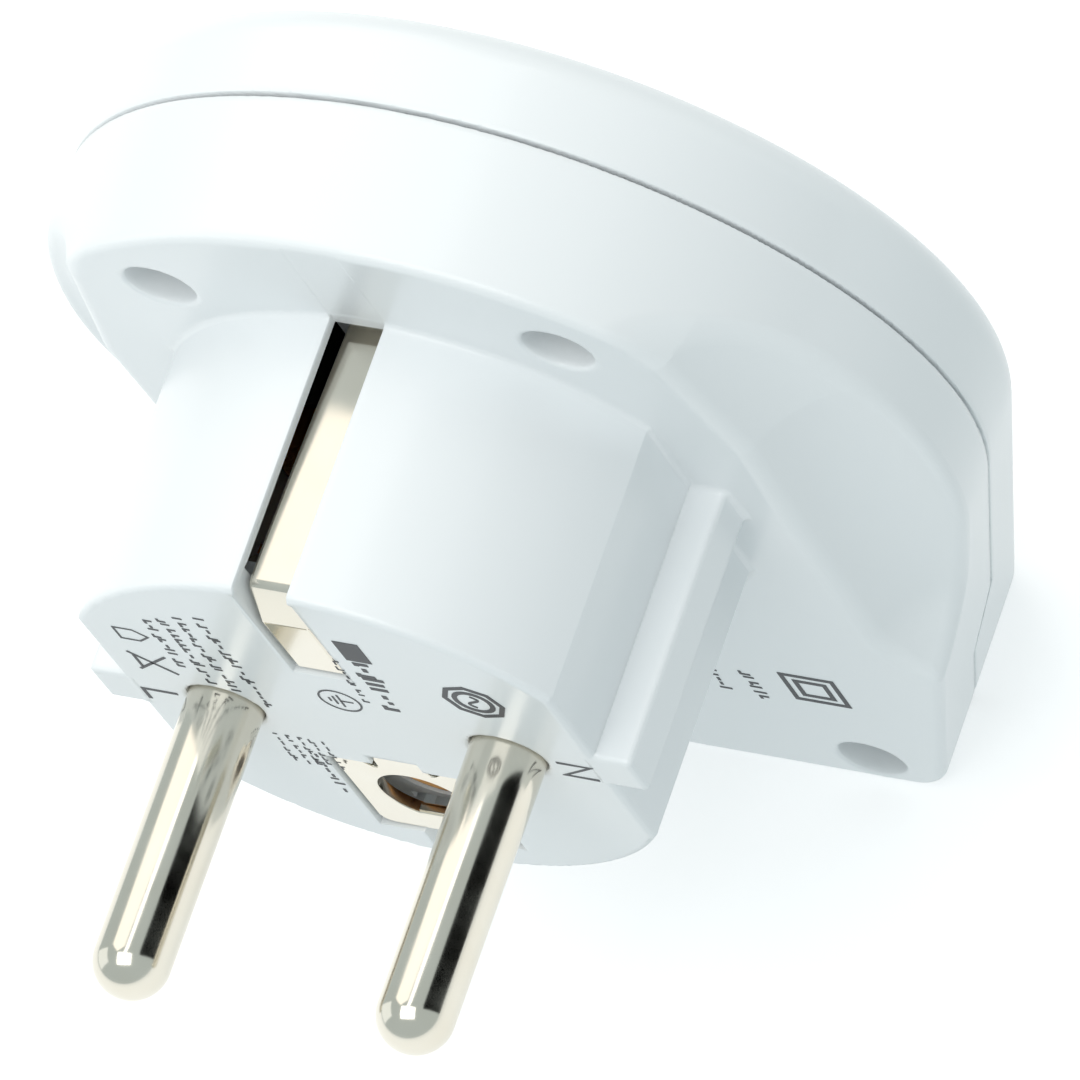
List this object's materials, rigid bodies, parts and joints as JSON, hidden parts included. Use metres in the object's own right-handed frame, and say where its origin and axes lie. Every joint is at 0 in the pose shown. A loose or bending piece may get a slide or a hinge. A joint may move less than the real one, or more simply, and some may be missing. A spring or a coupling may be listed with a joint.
{
  "type": "travel plug adapter",
  "caption": "Rounded white travel adapter with a grounded round-pin plug behind, a universal socket in front and a USB charging port in its flat end.",
  "frame": {"origin": "centre of the plug's engagement face, midway between the two pins", "axes": "+Y along the pins into the wall, +Z to the upper earth clip and away from the flat USB end, +X to the line pin"},
  "size_m": [0.0584, 0.054, 0.0674],
  "materials": {
    "shell": "satin gloss moulded white",
    "shutter": "satin moulded off-white",
    "carrier": "matt moulded dark grey",
    "retainer": "matt natural nylon",
    "barrier": "matt insulating sheet",
    "nickel": "bright nickel plate",
    "bronze": "bare phosphor bronze",
    "steel": "zinc-plated steel",
    "board": "green solder mask",
    "black": "black epoxy",
    "ferrite": "dark sintered ferrite",
    "tape": "yellow winding tape",
    "sleeve": "dark blue shrink sleeve",
    "ceramic": "blue coated ceramic",
    "resistor": "flameproof grey-green coating",
    "brown_lead": "brown insulation",
    "blue_lead": "blue insulation"
  },
  "bodies": {
    "housing": {"rear_housing": "shell", "front_cover": "shell", "line_pin": "nickel", "neutral_pin": "nickel", "pin_retainer": "retainer", "upper_earth_clip": "nickel", "lower_earth_clip": "nickel", "earth_pin_sleeve": "bronze", "earth_bridge": "bronze", "line_socket_contact": "bronze", "neutral_socket_contact": "bronze", "earth_socket_contact": "bronze", "contact_carrier": "carrier", "shutter_spring": "steel", "usb_board": "board", "usb_shell": "steel", "usb_tongue": "black", "transformer_core": "ferrite", "transformer_winding": "tape", "input_capacitor": "sleeve", "output_capacitor": "sleeve", "safety_capacitor": "ceramic", "bridge_rectifier": "black", "controller_chip": "black", "output_diode": "black", "optocoupler": "black", "fusible_resistor": "resistor", "filter_choke": "ferrite", "insulating_barrier": "barrier", "line_lead": "brown_lead", "neutral_lead": "blue_lead", "screw_upper_left": "steel", "screw_upper_right": "steel", "screw_lower_left": "steel", "screw_lower_right": "steel"},
    "shutter": {"socket_shutter": "shutter"}
  },
  "joints": [
    {"name": "shutter_slide", "type": "slide", "parent": "housing", "child": "shutter", "axis": [0, 0, -1], "range_m": [0, 0.0075], "stiffness_N_per_m": 60, "springref_m": -0.004, "deforming": ["shutter_spring"]}
  ]
}
